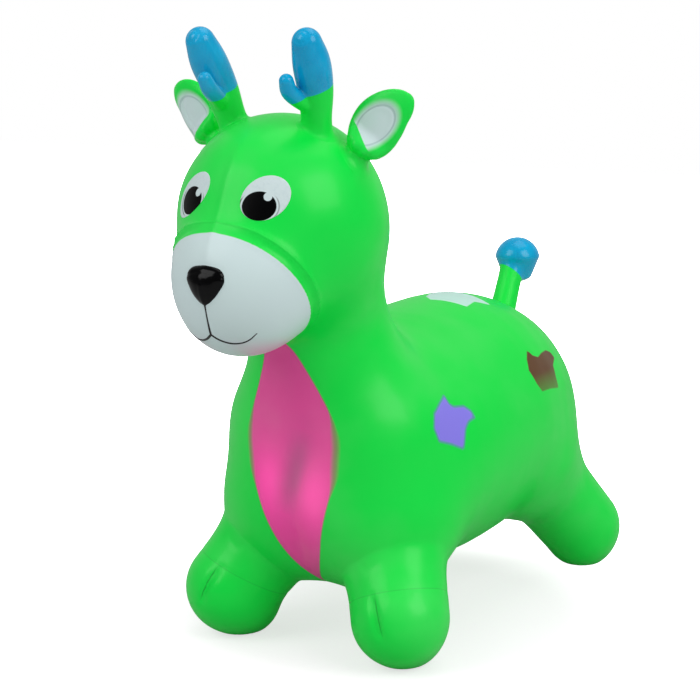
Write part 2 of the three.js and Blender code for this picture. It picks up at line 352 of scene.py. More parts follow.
# distance to a skin stretched over two balls
def roundCone(p, a, b):
    axis = b[:3] - a[:3]
    length2 = axis @ axis
    shrink = a[3] - b[3]
    slope2 = length2 - shrink * shrink
    rel = p - a[:3]
    y = rel @ axis
    z = y - length2
    side = rel * length2 - y[:, None] * axis
    x2 = np.einsum("ij,ij->i", side, side)
    y2 = y * y * length2
    z2 = z * z * length2
    k = np.sign(shrink) * shrink * shrink * x2
    mid = (np.sqrt(x2 * slope2 / length2) + y * shrink) / length2 - a[3]
    top = np.sqrt(x2 + z2) / length2 - b[3]
    low = np.sqrt(x2 + y2) / length2 - a[3]
    return np.where(np.sign(z) * slope2 * z2 > k, top, np.where(np.sign(y) * slope2 * y2 < k, low, mid))


def swept(p, balls, steps=5):
    chain = smoothChain(balls, steps)
    if len(chain) == 1:
        return np.linalg.norm(p - chain[0, :3], axis=1) - chain[0, 3]
    best = np.full(len(p), 1e9)
    for a, b in zip(chain[:-1], chain[1:]):
        best = np.minimum(best, roundCone(p, a, b))
    return best


# union with a rounded inner corner
def fuse(a, b, reach):
    h = np.maximum(reach - np.abs(a - b), 0) / reach
    return np.minimum(a, b) - h**3 * reach / 6


# cut with a rounded edge
def carve(a, b, reach):
    return -fuse(-a, b, reach)


def smoothStep(x, low, high):
    t = np.clip((x - low) / (high - low), 0, 1)
    return t * t * (3 - 2 * t)


def leftHalf(p):
    q = p.copy()
    q[:, 0] = np.abs(q[:, 0])
    return q


# distance from the valve's axis
def valveAway(p):
    return np.hypot(p[:, 0], p[:, 1] - valveForm["y"])


def bodyField(p):
    f = bodyForm
    q = leftHalf(p)

    def limb(name):
        return swept(q, f[name])

    skull = fuse(limb("neck"), limb("head"), f["headFillet"])
    chest = fuse(limb("trunk"), limb("frontLeg"), f["frontFillet"])
    chest = fuse(chest, limb("brisket"), f["chestFillet"])
    chest = fuse(chest, limb("shoulder"), f["shoulderFillet"])
    crotch, flank = f["rearFillet"]
    hip = crotch + (flank - crotch) * smoothStep(p[:, 2], f["flankFrom"], f["flankTo"])
    barrel = fuse(chest, limb("rearLeg"), hip)
    body = fuse(barrel, skull, f["neckFillet"])
    for heel in ("frontHeel", "rearHeel"):
        body = fuse(body, limb(heel), f["heelFillet"])
    q[:, 0] = q[:, 0] / f["muzzleWidth"]
    muzzle = fuse(limb("muzzle"), limb("chin"), f["chinFillet"])
    body = fuse(body, muzzle, f["muzzleFillet"])
    body = carve(body, p[:, 2], f["soleEase"])  # soles pressed flat on the floor
    pocket = np.maximum(valveAway(p) - valveForm["pocket"], p[:, 2] - valveForm["pocketTop"])
    return np.maximum(body, -pocket)


# moulded relief, as heights off the plain body
muzzleMark = {
    "normal": (0, -0.788, -0.615),
    "offset": 24.3,
    "rims": [(9.5, 1.8, 1.9), (4.8, -1.0, 1.8), (0.5, 0.6, 1.6)],  # distance out from the paint, height, width
    "sideFrom": 6,
    "sideTo": 42,
    "lowest": 318,
    "lowEase": 14,
    "front": -170,
}
keelMark = {"height": 1.0, "width": 4.5, "foot": (366, 380), "top": (450, 485), "front": -150}
hoofMark = {
    "normal": (0.34, -0.33, -0.88),
    "at": 15.5,
    "depth": 0.4,
    "width": 1.5,
    "top": (96, 112),
    "front": -40,
    "cleft": [(79, -163, 74), (88.5, -169.5, 58), (95.5, -171.5, 38)],
    "cleftWidth": 3.6,
    "cleftDepth": 3.4,
    "cleftSide": (0.92, 0.33, 0.29),
}
legCrease = {"path": [(60, -151, 97), (68, -154.5, 91), (80, -150, 99)], "width": 2.8, "depth": 1.3}
chestMark = {
    "path": [(18, -171, 216), (11, -171, 190), (2, -168, 163), (-9, -160, 132)],
    "width": 8,
    "depth": 2.4,
    "hollowShadeWidth": 12,
    "lobes": [(-18, -167, 163), (23, -166.5, 157)],
    "lobeSpan": 22,
    "lobeSquash": (1.25, 1, 0.75),
    "lobeHeight": 1.2,
}
lipMark = {"path": [(0, -290, 340), (0, -288, 328), (0, -284, 314)], "width": 2.6, "depth": 1.5}
valveMark = {"flat": 15, "edge": 23, "depth": 6.5, "below": 120}
leafMark = {"end": 0.02, "fullness": 0.6}
# slow unevenness of a blown skin, left out at the soles
wave = {"height": 0.45, "long": (33, 41, 37), "short": (17, 23, 19), "shortShare": 0.5, "from": 6, "to": 40}


def bell(x, width):
    return np.exp(-(x / width) ** 2)


def muzzleEdge(p):
    return p @ np.array(muzzleMark["normal"]) + muzzleMark["offset"]


# how far along a path of a few points, 0 to 1, and how far away from it
def alongPath(p, path):
    path = np.array(path, float)
    best = np.full(len(p), 1e9)
    share = np.zeros(len(p))
    for i in range(len(path) - 1):
        axis = path[i + 1] - path[i]
        t = np.clip((p - path[i]) @ axis / (axis @ axis), 0, 1)
        away = np.linalg.norm(p - path[i] - t[:, None] * axis, axis=1)
        share = np.where(away < best, (i + t) / (len(path) - 1), share)
        best = np.minimum(best, away)
    return share, best


def hoofEdge(p):
    return leftHalf(p) @ np.array(hoofMark["normal"]) - hoofMark["at"]


# how far a point lies to the outer side of the hoof's cleft
def cleftSide(p):
    q = leftHalf(p)
    middle = np.array(hoofMark["cleft"][1], float)
    return (q - middle) @ np.array(hoofMark["cleftSide"])


# a leaf-shaped hollow along a path
def leafHollow(p, path, width):
    share, away = alongPath(p, path)
    end = leafMark["end"]
    leaf = np.sin(np.pi * np.clip(share, end, 1 - end)) ** leafMark["fullness"]
    return leaf * bell(away, width)


def hollowOf(p, mark):
    return mark["depth"] * leafHollow(p, mark["path"], mark["width"])


# the two swellings beside the chest's hollow, 1 at their tops
def chestLobes(p):
    c = chestMark
    away = [np.linalg.norm((p - np.array(at)) * c["lobeSquash"], axis=1) for at in c["lobes"]]
    return sum(bell(a, c["lobeSpan"]) for a in away)


def relief(p):
    q = leftHalf(p)
    x, y, z = p.T
    m = muzzleMark
    edge = muzzleEdge(p)
    face = smoothStep(z, m["lowest"] - m["lowEase"], m["lowest"] + m["lowEase"])
    face = face * smoothStep(q[:, 0], m["sideFrom"], m["sideTo"]) * (y < m["front"])
    h = face * sum(height * bell(edge + out, width) for out, height, width in m["rims"])
    k = keelMark
    brow = smoothStep(z, *k["foot"]) * (1 - smoothStep(z, *k["top"])) * (y < k["front"])
    h += k["height"] * bell(x, k["width"]) * brow
    f = hoofMark
    foot = (1 - smoothStep(z, *f["top"])) * (y < f["front"])
    h -= f["depth"] * bell(hoofEdge(p), f["width"]) * foot
    h -= f["cleftDepth"] * leafHollow(q, f["cleft"], f["cleftWidth"])
    h -= hollowOf(q, legCrease) + hollowOf(p, chestMark) + hollowOf(p, lipMark)
    h += chestMark["lobeHeight"] * chestLobes(p)
    v = valveMark
    h -= v["depth"] * (1 - smoothStep(valveAway(p), v["flat"], v["edge"])) * (z < v["below"])
    w = wave
    (a, b, c), (d, e, g) = w["long"], w["short"]
    swell = np.sin(x / a + 1) * np.sin(y / b + 2) * np.sin(z / c)
    swell = swell + w["shortShare"] * np.sin(x / d + y / e + z / g)
    return h + w["height"] * swell * smoothStep(z, w["from"], w["to"])


def skinField(p):
    return bodyField(p) - relief(p)


def slope(field, p, step=0.5):
    corners = np.array([(1, -1, -1), (-1, -1, 1), (-1, 1, -1), (1, 1, 1)], float)
    return sum(c * field(p + c * step)[:, None] for c in corners) / (4 * step)


netBlock = 4  # cells along a block of the net, which is worked out only near the surface
netReach = 6.5  # how near, in cells


# closed quad mesh of the zero level of a field: one vertex in each grid cell that the surface crosses
def surfaceNet(field, low, high, pitch):
    low, high = np.array(low, float), np.array(high, float)
    blocks = np.ceil((high - low) / (pitch * netBlock)).astype(int) + 1
    axes = [low[i] + pitch * (netBlock * np.arange(blocks[i]) + (netBlock - 1) / 2) for i in range(3)]
    centres = np.stack(np.meshgrid(*axes, indexing="ij"), -1).reshape(-1, 3)
    values = field(centres).reshape(blocks)
    inBand = np.abs(values) < pitch * netReach
    for axis in range(3):
        values, inBand = values.repeat(netBlock, axis), inBand.repeat(netBlock, axis)
    values[inBand] = field(low + np.argwhere(inBand) * pitch)
    inside = values < 0
    corner = [(i, j, k) for i in (0, 1) for j in (0, 1) for k in (0, 1)]
    n = np.array(values.shape) - 1
    cut = [inside[i:n[0] + i, j:n[1] + j, k:n[2] + k] for i, j, k in corner]
    count = sum(c.astype(np.int8) for c in cut)
    active = np.argwhere((count > 0) & (count < 8))
    number = np.full(n, -1)
    number[tuple(active.T)] = np.arange(len(active))
    total = np.zeros((len(active), 3))
    hits = np.zeros(len(active))
    for a in range(8):
        for axis in range(3):
            if corner[a][axis]:
                continue
            b = list(corner[a])
            b[axis] = 1
            va = values[tuple((active + corner[a]).T)]
            vb = values[tuple((active + b).T)]
            cross = (va < 0) != (vb < 0)
            t = np.where(cross, va / np.where(cross, va - vb, 1), 0)
            spot = np.array(corner[a], float) + np.outer(t, np.eye(3)[axis])
            total += spot * cross[:, None]
            hits += cross
    points = low + (active + total / hits[:, None]) * pitch
    quads = []
    for axis in range(3):
        u, v = (axis + 1) % 3, (axis + 2) % 3
        head = [slice(1, -1)] * 3
        head[axis] = slice(0, -1)
        tail = [slice(1, -1)] * 3
        tail[axis] = slice(1, None)
        a, b = inside[tuple(head)], inside[tuple(tail)]
        base = np.array([1, 1, 1])
        base[axis] = 0
        for first, flip in ((a & ~b, False), (b & ~a, True)):
            cells = np.argwhere(first) + base
            ring = []
            for du, dv in ((1, 1), (0, 1), (0, 0), (1, 0)):
                step = np.zeros(3, int)
                step[u], step[v] = -du, -dv
                ring.append(number[tuple((cells + step).T)])
            quad = np.stack(ring, 1)
            quads.append(quad[:, ::-1] if flip else quad)
    return points, np.vstack(quads)


settleRules = {"hold": 0.4, "drops": 2, "flattest": 0.05}


# even out the net, then drop each vertex back on the surface
def settle(points, quads, field, rounds):
    hold = settleRules["hold"]
    edges = np.vstack([quads[:, [i, (i + 1) % 4]] for i in range(4)])
    hits = np.bincount(edges[:, 0], minlength=len(points))
    for _ in range(rounds):
        total = np.zeros_like(points)
        for i in range(3):
            total[:, i] = np.bincount(edges[:, 0], points[edges[:, 1], i], len(points))
        points = hold * points + (1 - hold) * total / hits[:, None]
    for _ in range(settleRules["drops"]):
        g = slope(field, points)
        steep = np.maximum((g * g).sum(1), settleRules["flattest"])
        points = points - g * (field(points) / steep)[:, None]
    return points


def makePiece(name, points, faces, material, marks={}):
    mesh = bpy.data.meshes.new(name)
    mesh.from_pydata((points * mm).tolist(), [], faces if isinstance(faces, list) else faces.tolist())
    mesh.polygons.foreach_set("use_smooth", [True] * len(mesh.polygons))
    for mark, values in marks.items():
        layer = mesh.attributes.new(mark, "FLOAT", "POINT")
        layer.data.foreach_set("value", np.asarray(values, np.float32))
    mesh.materials.append(material)
    mesh.update()
    piece = bpy.data.objects.new(name, mesh)
    scene.collection.objects.link(piece)
    return piece


# painted areas of the skin, as distances in from each edge
farOff = -40  # a distance well clear of any edge
chestPaint = {
    "heights": [62, 80, 99, 131, 168, 205, 229, 253, 277, 300],
    "halfWidths": [0, 11, 20, 31, 42, 44.5, 40, 29.5, 18.5, 10.5],
    "centres": [2, 2, 2.5, 1.5, 1.5, 2, 1.5, -0.5, -2.5, -4.5],
    "ease": 8,
    "easeSteps": 7,
    "front": -70,
    "top": 300,
}
spotPaint = {
    "purple": {"at": (104, -61, 210), "out": (0.93, -0.1, 0.33), "outline": [
        (-1, 25), (1, 17), (6, 13), (20, 11), (27, 5), (29, -1), (19, -3),
        (12, -9), (4, -25), (-11, -18), (-28, -12), (-32, 0), (-27, 12), (-14, 19)]},
    "brown": {"at": (106, 118, 227), "out": (0.86, 0.12, 0.5), "outline": [
        (-12, 25), (-8, 18), (1, 14), (12, 16), (27, 16.5), (36, 13), (40, 6), (26, 0),
        (21, -12), (20, -22), (-1, -18.5), (-20, -17), (-26, -8), (-30, 7), (-23, 17)]},
    "white": {"at": (14, 106, 294), "out": (0.1, 0, 1), "outline": [
        (-15, 23), (20, 34), (29, 19), (27, -7), (20, -31), (6, -20), (-18, -24), (-24, 0), (-28, 11)]},
}
spotDepth = 45  # a spot paints only the skin this near its plane
muzzlePaint = {"front": -150, "lowest": 275}
hoofPaint = {"front": -40, "top": 100}
brownFade = {"top": 227, "span": 16}
jawBlush = {"height": (294, 314), "side": (2, 30)}


def unit(v):
    return np.array(v, float) / np.linalg.norm(v)


# a row of the chest's values along z, eased over a short height
def chestRow(z, row):
    c = chestPaint
    lifts = np.linspace(-c["ease"], c["ease"], c["easeSteps"])
    return sum(np.interp(z + lift, c["heights"], c[row]) for lift in lifts) / c["easeSteps"]


def chestEdge(p):
    c = chestPaint
    x, y, z = p.T
    inside = chestRow(z, "halfWidths") - np.abs(x - chestRow(z, "centres"))
    return np.where((y < c["front"]) & (z < c["top"]), inside, farOff)


# distance in from a closed outline, negative outside it
def insideOutline(p, outline):
    outline = np.array(outline, float)
    best = np.full(len(p), 1e9)
    inside = np.zeros(len(p), bool)
    for a, b in zip(outline, np.roll(outline, -1, 0)):
        rel, edge = p - a, b - a
        t = np.clip(rel @ edge / (edge @ edge), 0, 1)
        best = np.minimum(best, np.linalg.norm(rel - t[:, None] * edge, axis=1))
        crosses = (a[1] > p[:, 1]) != (b[1] > p[:, 1])
        rise = edge[1] if edge[1] else 1e-9
        inside ^= crosses & (p[:, 0] < a[0] + edge[0] * (p[:, 1] - a[1]) / rise)
    return np.where(inside, best, -best)


def spotEdge(p, spot):
    out = unit(spot["out"])
    side = np.cross((0, 0, 1), out) if abs(out[2]) < 0.9 else np.array((0.0, 1.0, 0.0))
    side = unit(side - out * (side @ out))
    rel = p - np.array(spot["at"], float)
    flat = np.stack([rel @ side, rel @ np.cross(out, side)], 1)
    return np.where(np.abs(rel @ out) < spotDepth, insideOutline(flat, spot["outline"]), farOff)


pvcGreen = paint(2, 234, 72)
collarGreen = paint(3, 224, 67)
# painted shade for the hoof groove and the hoof's cleft
creaseShadeGreen = paint(0, 120, 30)
coatWhite = paint(213, 232, 233)
spotWhite = paint(198, 239, 227)
coatPink = paint(255, 74, 170)
coatPinkDeep = paint(238, 84, 162)
hollowShadeMauve = paint(196, 92, 150)
# painted shade for the chest's hollow
pinkEdge = paint(92, 112, 60)
purpleEdge = paint(64, 136, 140)
coatPurple = paint(142, 130, 242)
coatBrown = paint(100, 64, 34)
coatBlue = paint(6, 172, 222)
coatBlueDeep = paint(4, 142, 196)
inkBlack = paint(3, 3, 4)

# semi-gloss soft PVC
pvcLook = {
    "haze": (9, 3),  # scale and detail of each noise
    "hazeFrom": 0.42,
    "hazeTo": 0.75,
    "hazeShare": 0.06,
    "hazeTint": (0.62, 0.92, 0.66, 1),
    "grain": (38, 2),
    "grainHeight": 0.35,
    "fine": (900, 2),
    "fineHeight": 0.04,
    "bumpDistance": 0.0008,
    "bumpStrength": 0.35,
    "roughness": 0.34,
    "grainRoughness": 0.12,
}


def pvc(finish, colour, sockets={}, moulded=0.0):
    k = pvcLook
    haze = finish.noise(*k["haze"]).ramp(k["hazeFrom"], k["hazeTo"])
    grain = finish.noise(*k["grain"])
    height = grain * k["grainHeight"] + finish.noise(*k["fine"]) * k["fineHeight"] + moulded
    return finish.surface({
        "Base Color": finish.mix(haze * k["hazeShare"], colour, k["hazeTint"]),
        "Roughness": k["roughness"] + k["grainRoughness"] * grain,
        "Normal": finish.bump(height, k["bumpDistance"], k["bumpStrength"]),
        "Specular IOR Level": 0.22,
        "Coat Weight": 0.15,
        "Coat Roughness": 0.18,
        **sockets,
    })


# sprayed paint over the skin, darker where the two meet
def coatOver(finish, share, base, coat, edge):
    laid = finish.mix(share, base, coat)
    return finish.mix(share * (1 - share) * 2, laid, edge)


skinLook = {
    "pinkSoft": 1.2,  # softness of the pink's edge, and how much is added about its widest place
    "pinkSofter": 5.0,
    "softFrom": (150, 180),
    "softTo": (205, 235),
    "pinkDeepening": (170, 225),
    "deepeningShare": 0.7,
    "hollowShadeShare": 0.7,
    "pinkRim": (0, 9),
    "rimShare": 0.4,
    # strength of the painted light that makes the chest's swellings glow
    "paintedLobeGlow": 0.3,
    "blushShare": 0.3,
    "purpleEdge": (-2.4, 1.8),
    "sharpEdge": 0.8,
    "muzzleEdge": 0.5,
    "brownFade": 0.28,
    "hoofShadeLine": (0.2, 0.7),
    "hoofShadeShare": 0.17,
    "cleftEnds": [(0, 0.3), (0.7, 1)],
    "cleftReach": (5, 8),
    "cleftRise": (-3.4, 2.04),
    "cleftStep": (2.0, 2.7),
    "cleftShade": (0.9, 1.9),
    "cleftShadeShare": 0.5,
    "cleftBump": 4,
    "rimAt": 9.4,
    "rimHalf": 1.5,
    "rimFrom": (316, 334),
    "rimBump": 1.6,
}


def skinFinish():
    k = skinLook
    s = Finish("greenSkin")
    chest, high, hollowShade = s.attribute("chest"), s.attribute("height"), s.attribute("hollowShade")
    widest = high.ramp(*k["softFrom"]) * (1 - high.ramp(*k["softTo"]))
    pinkShare = (chest / (k["pinkSoft"] + k["pinkSofter"] * widest)).inside(k["sharpEdge"])
    # the pink turns deeper higher up the chest
    pink = s.mix(high.ramp(*k["pinkDeepening"]) * k["deepeningShare"], coatPink, coatPinkDeep)
    # painted shade: the pink turns mauve along the chest's hollow, where shade falls
    pink = s.mix(hollowShade * k["hollowShadeShare"], pink, hollowShadeMauve)
    pink = s.mix((1 - chest.ramp(*k["pinkRim"])) * k["rimShare"], pink, coatPinkDeep)
    colour = coatOver(s, pinkShare, pvcGreen, pink, pinkEdge)
    muzzle = s.attribute("muzzle")
    white = s.mix(s.attribute("blush") * k["blushShare"], coatWhite, coatPink)
    colour = s.mix(muzzle.inside(k["muzzleEdge"]), colour, white)
    purple = s.attribute("purple").ramp(*k["purpleEdge"])
    colour = coatOver(s, purple, colour, coatPurple, purpleEdge)
    brown = s.attribute("brown").inside(k["sharpEdge"]) * (1 - k["brownFade"] * s.attribute("brownFade"))
    colour = s.mix(brown, colour, coatBrown)
    colour = s.mix(s.attribute("white").inside(k["sharpEdge"]), colour, spotWhite)
    # painted shade: darker green along the moulded hoof groove
    hoofShadeLine = 1 - s.attribute("hoof").size().ramp(*k["hoofShadeLine"])
    colour = s.mix(hoofShadeLine * k["hoofShadeShare"], colour, creaseShadeGreen)
    along, across = s.attribute("cleftAlong"), s.attribute("cleftSide")
    first, last = k["cleftEnds"]
    leaf = along.ramp(*first) * (1 - along.ramp(*last)) * (1 - s.attribute("cleftAway").ramp(*k["cleftReach"]))
    dent = across.ramp(*k["cleftRise"]) * (1 - across.ramp(*k["cleftStep"])) * leaf
    # painted shade on the steep wall of the hoof's cleft
    colour = s.mix(dent * across.ramp(*k["cleftShade"]) * k["cleftShadeShare"], colour, creaseShadeGreen)
    rim = (1 - (muzzle + k["rimAt"]).size().ramp(0, k["rimHalf"])) * high.ramp(*k["rimFrom"])
    # painted light: the chest's two swellings glow pink, standing in for the light falling on them
    glow = s.mix(s.attribute("lobe") * (1 - hollowShade) * pinkShare, (0, 0, 0, 1), coatPink)
    paintedLobeLight = {"Emission Color": glow, "Emission Strength": k["paintedLobeGlow"]}
    return pvc(s, colour, paintedLobeLight, rim * k["rimBump"] - dent * k["cleftBump"])


def makeSkin():
    f = bodyForm
    points, quads = surfaceNet(bodyField, f["low"], f["high"], f["pitch"])
    points = settle(points, quads, skinField, f["rounds"])
    x, y, z = points.T
    mirrored = points * np.array((-1, 1, 1))
    spots = {name: spotEdge(points, spot) for name, spot in spotPaint.items()}
    for name in ("purple", "brown"):  # both flanks have these
        spots[name] = np.maximum(spots[name], spotEdge(mirrored, spotPaint[name]))
    face = (y < muzzlePaint["front"]) & (z > muzzlePaint["lowest"])
    foot = (y < hoofPaint["front"]) & (z < hoofPaint["top"])
    jaw = (1 - smoothStep(z, *jawBlush["height"])) * smoothStep(np.abs(x), *jawBlush["side"])
    cleftAlong, cleftAway = alongPath(leftHalf(points), hoofMark["cleft"])
    marks = {
        "cleftAlong": cleftAlong,
        "cleftAway": cleftAway,
        "cleftSide": cleftSide(points),
        "muzzle": np.where(face, muzzleEdge(points), farOff),
        "chest": chestEdge(points),
        # mask of the painted shade along the chest's hollow
        "hollowShade": leafHollow(points, chestMark["path"], chestMark["hollowShadeWidth"]),
        "lobe": chestLobes(points),
        "height": z,
        "blush": jaw,
        "brownFade": np.clip((brownFade["top"] - z) / brownFade["span"], 0, 1),
        "hoof": np.where(foot, hoofEdge(points), -farOff),
        **spots,
    }
    piece = makePiece("body_skin", points, quads, skinFinish(), marks)
    print("skin", len(points), "vertices")
    return piece


skin = makeSkin()
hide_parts("trunk", "neck", "head", "muzzle", "front_left_leg", "front_right_leg", "rear_left_leg", "rear_right_leg")
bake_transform(skin)

# soft limbs that root in the skin: each one's fillet dives under it
limbRoot = {"keep": 0.92, "sinkFrom": 0.45, "sink": 0.04, "sinkMore": 0.7}
limbRounds = 2


def rooted(p, limb, fillet):
    r = limbRoot
    under = skinField(p) + r["sink"] + r["sinkMore"] * smoothStep(limb / fillet, r["sinkFrom"], r["keep"])
    return np.maximum(fuse(limb, under, fillet), limb - r["keep"] * fillet)


# distance above the plane where a limb's paint begins
def paintEdge(p, form):
    return (p - np.array(form["paintAt"])) @ unit(form["paintOut"])


def makeLimb(name, field, form, material, paints):
    pitch = form["pitch"] * 1
    points, quads = surfaceNet(field, form["low"], form["high"], pitch)
    points = settle(points, quads, field, limbRounds)
    return makePiece(name, points, quads, material, {k: f(points) for k, f in paints.items()})


# antlers: a fat thumb with a small tine in front, blue above a slanted line
antlerForm = {
    "stem": [
        (39.5, -184, 466, 14), (43, -190, 484, 12.8), (47.5, -198.5, 508, 14.8),
        (51, -209.5, 529, 15.6), (52.5, -219, 546, 12.4),
    ],
    "tine": [(44, -197, 494, 8), (40.5, -213, 500.5, 7.2), (39.3, -225, 507.5, 7), (40.2, -230.5, 515.8, 6)],
    "tineFillet": 3,
    "rootFillet": 8,
    "low": (8, -250, 440),
    "high": (82, -150, 572),
    "pitch": 1.3,
    "paintAt": (46, -198, 509),
    "paintOut": (-0.12, -0.42, 0.9),
    "markAt": (53.5, -229, 551),
    "markRing": 5.4,
    "markWidth": 1.3,
    "markDepth": 0.6,
    "bendStart": (0.0405, -0.187, 0.474),
    "bendEnd": (0.046, -0.198, 0.505),
}


def antlerField(p, a):
    limb = fuse(swept(p, a["stem"]), swept(p, a["tine"]), a["tineFillet"])
    ring = np.linalg.norm(p - np.array(a["markAt"]), axis=1) - a["markRing"]
    limb = limb + a["markDepth"] * bell(ring, a["markWidth"])
    return rooted(p, limb, a["rootFillet"])


# glossy blue sprayed on the ends of antlers and tail
blueLook = {
    "edge": 0.4,
    "worn": (60, 3),
    "wornFrom": 0.35,
    "wornTo": 0.8,
    "wornShare": 0.5,
    "roughness": 0.36,
    "smoother": 0.16,
    "wornRoughness": 0.1,
    "coat": 0.22,
}


def coatedFinish(name):
    k = blueLook
    s = Finish(name)
    share = s.attribute("coat").inside(k["edge"])
    worn = s.noise(*k["worn"]).ramp(k["wornFrom"], k["wornTo"])
    blue = s.mix(worn * k["wornShare"], coatBlue, coatBlueDeep)
    return pvc(s, s.mix(share, pvcGreen, blue), {
        "Roughness": k["roughness"] - k["smoother"] * share + k["wornRoughness"] * worn,
        "Coat Weight": share * k["coat"],
        "Coat Roughness": 0.08,
    })


def makePair(kind, forms, field, material, paints):
    for side, form in forms.items():
        flip = np.array((-1 if side == "right" else 1, 1, 1))
        low, high = np.sort([form["low"] * flip, form["high"] * flip], 0)
        shape, *coats = [lambda p, f=f: f(p * flip, form) for f in (field, *paints.values())]
        node = f"{side}_{kind}"
        placed = {"low": low, "high": high, "pitch": form["pitch"]}
        piece = makeLimb(f"{node}_skin", shape, placed, material, dict(zip(paints, coats)))
        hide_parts(node)
        start, end = (tuple(map(float, form[k] * flip)) for k in ("bendStart", "bendEnd"))
        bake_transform(piece)
    print(kind, "pair made")


antlers = {"left": antlerForm, "right": antlerForm}
makePair("antler", antlers, antlerField, coatedFinish("antlerSkin"), {"coat": paintEdge})

# ears: a flat leaf on a narrow root, white inside with a soft edge
earForm = {
    "root": (73, -172, 456),
    "out": (0.59, 0.12, 0.798),
    "face": (0.309, -0.951, 0),
    "leaf": [  # distance out, half width, shift to the lower edge
        (-14, 12, 0), (3, 10.5, 0), (10, 14, 0), (19, 20.5, 0),
        (30, 21.8, -1), (41, 18.8, 0), (50, 14.5, 3), (57, 8.5, 6),
    ],
    "flatFrom": 2,
    "flatTo": 22,
    "flatness": 0.34,
    "dish": 2.6,
    "dishSlope": (0.5, 1.4),
    "dishStart": (8, 18),
    "rootSlant": 0.4,
    "oval": {"out": 28, "shift": -2, "long": 19.5, "wide": 12.7, "turn": 0.2},  # the dish
    "white": {"out": 28, "shift": -2, "long": 19.5, "wide": 12.7, "turn": 0.2},
    "ringDepth": 0.6,
    "ringWidth": 1.1,
    "folds": 9,
    "foldDepth": 0.5,
    "foldAt": 4,
    "foldSpan": 6,
    "rootFillet": 11,
    "low": (40, -215, 415),
    "high": (150, -125, 540),
    "pitch": 1.3,
    "bendStart": (0.070, -0.1714, 0.4532),
    "bendEnd": (0.086, -0.168, 0.475),
}
# this one stands a little higher, and its white lies nearer the lower edge
rightEarForm = {
    **earForm,
    "root": (71.5, -172, 463.5),
    "out": (0.685, 0.12, 0.718),
    "rootSlant": 0.15,
    "white": {"out": 28, "shift": 3, "long": 20.5, "wide": 14.4, "turn": 0.2},
}


def earPlace(p, e):
    out = unit(e["out"])
    face = np.array(e["face"])
    face = unit(face - out * (face @ out))
    rel = p - np.array(e["root"])
    return rel @ out, rel @ np.cross(out, face), rel @ face


# 1 on the ring round an oval, 0 in its middle
def ovalShare(p, e, o):
    along, across, _ = earPlace(p, e)
    along, across = along - o["out"], across - o["shift"]
    c, s = np.cos(o["turn"]), np.sin(o["turn"])
    return np.hypot((c * along + s * across) / o["long"], (c * across - s * along) / o["wide"])


def earField(p, e):
    along, across, front = earPlace(p, e)
    flat = 1 + (e["flatness"] - 1) * smoothStep(along, e["flatFrom"], e["flatTo"])
    q = np.stack([across, front / flat, along], 1)
    limb = swept(q, [(shift, 0, reach, half) for reach, half, shift in e["leaf"]]) * flat
    share = ovalShare(p, e, e["oval"])
    dish = e["dish"] * (1 - smoothStep(share, *e["dishSlope"]))
    dish = dish + e["ringDepth"] * bell((share - 1) * e["oval"]["wide"], e["ringWidth"])
    limb = limb + dish * (front > 0) * smoothStep(along, *e["dishStart"])
    folds = np.sin(e["folds"] * np.arctan2(front, across)) * bell(along - e["foldAt"], e["foldSpan"])
    return rooted(p, limb + e["foldDepth"] * folds, e["rootFillet"])


def earWhite(p, e):
    return ovalShare(p, e, e["white"])


def earFront(p, e):
    return earPlace(p, e)[2]


# distance out from the slanted line where the white begins
def earAlong(p, e):
    along, across, _ = earPlace(p, e)
    return along + e["rootSlant"] * across


earLook = {
    "fade": (0.98, 1.45),  # shares of the oval over which the white fades
    "front": (0, 2),
    "start": (12, 12.8),
    "line": (0.3, 1.0),
    "ringShadeShare": 0.35,
    "ringShadeGrey": paint(96, 150, 140),
}


def earFinish():
    k = earLook
    s = Finish("earSkin")
    share = s.attribute("share")
    inner = (1 - share.ramp(*k["fade"])) * s.attribute("front").ramp(*k["front"])
    inner = inner * s.attribute("along").ramp(*k["start"])
    # painted shade: a grey line along the moulded ring round the ear's white
    line = 1 - ((share - 1).size() * earForm["oval"]["wide"]).ramp(*k["line"])
    white = s.mix(line * k["ringShadeShare"], coatWhite, k["ringShadeGrey"])
    return pvc(s, s.mix(inner, pvcGreen, white))


earPaints = {"share": earWhite, "front": earFront, "along": earAlong}
makePair("ear", {"left": earForm, "right": rightEarForm}, earField, earFinish(), earPaints)

# tail: a stalk with a blue ball
tailForm = {
    "stalk": [(0, 225, 237, 16), (0, 240.5, 263, 13.4), (0, 254, 290, 12.4), (0, 263, 305, 13.5)],
    "ball": (0, 272.5, 310.5, 23.6),
    "ridge": {"height": 313.5, "radius": 23.2, "taper": 0.4, "ease": 1.2},
    "fillet": 5,
    "rootFillet": 9,
    "low": (-36, 195, 205),
    "high": (36, 305, 345),
    "pitch": 1.5,
    "paintAt": (0, 262, 295),
    "paintOut": (0.3, 0.62, 0.72),
}


# a dome above the ball's ridge, a cone below it
def tailField(p):
    t = tailForm
    r = t["ridge"]
    across = np.hypot(p[:, 0], p[:, 1] - t["ball"][1])
    cone = (across - r["radius"] - r["taper"] * (p[:, 2] - r["height"])) / np.hypot(1, r["taper"])
    ball = carve(swept(p, [t["ball"]]), -cone, r["ease"])
    return rooted(p, fuse(swept(p, t["stalk"]), ball, t["fillet"]), t["rootFillet"])


def tailPaint(p):
    return paintEdge(p, tailForm)


tail = makeLimb("tail_skin", tailField, tailForm, coatedFinish("tailSkin"), {"coat": tailPaint})
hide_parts("tail")
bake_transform(tail)
print("tail made")

